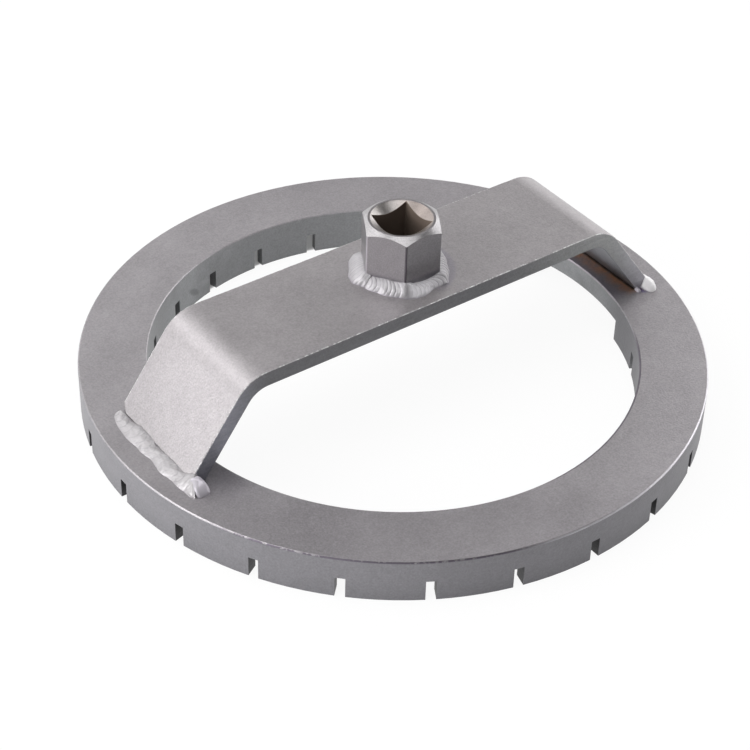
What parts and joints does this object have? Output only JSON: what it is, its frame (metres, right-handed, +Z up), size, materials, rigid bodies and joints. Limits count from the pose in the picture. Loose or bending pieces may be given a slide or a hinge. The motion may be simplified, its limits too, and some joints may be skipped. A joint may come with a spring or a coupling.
{
  "type": "fuel tank cap wrench",
  "caption": "Ring spanner for a fuel tank cap: a ring with slotted rims, a bent bridge bar welded across it and a hexagonal boss with a square drive socket.",
  "frame": {"origin": "centre of the ring's underside, on the surface that the wrench rests on", "axes": "+Z up through the ring and the square drive; +X along the bridge bar, towards the foot over the relieved stretch of the inner rim"},
  "size_m": [0.1914, 0.1914, 0.061],
  "materials": {
    "plated_steel": "satin zinc plate over fine-blasted steel",
    "weld_metal": "bright rippled weld under the plating"
  },
  "bodies": {
    "root": {"ring": "plated_steel", "bridge_bar": "plated_steel", "drive_boss": "plated_steel", "boss_weld_front": "weld_metal", "boss_weld_rear": "weld_metal", "left_foot_weld": "weld_metal", "right_foot_weld": "weld_metal", "left_foot_return_weld": "weld_metal", "right_foot_return_weld": "weld_metal"}
  },
  "joints": []
}
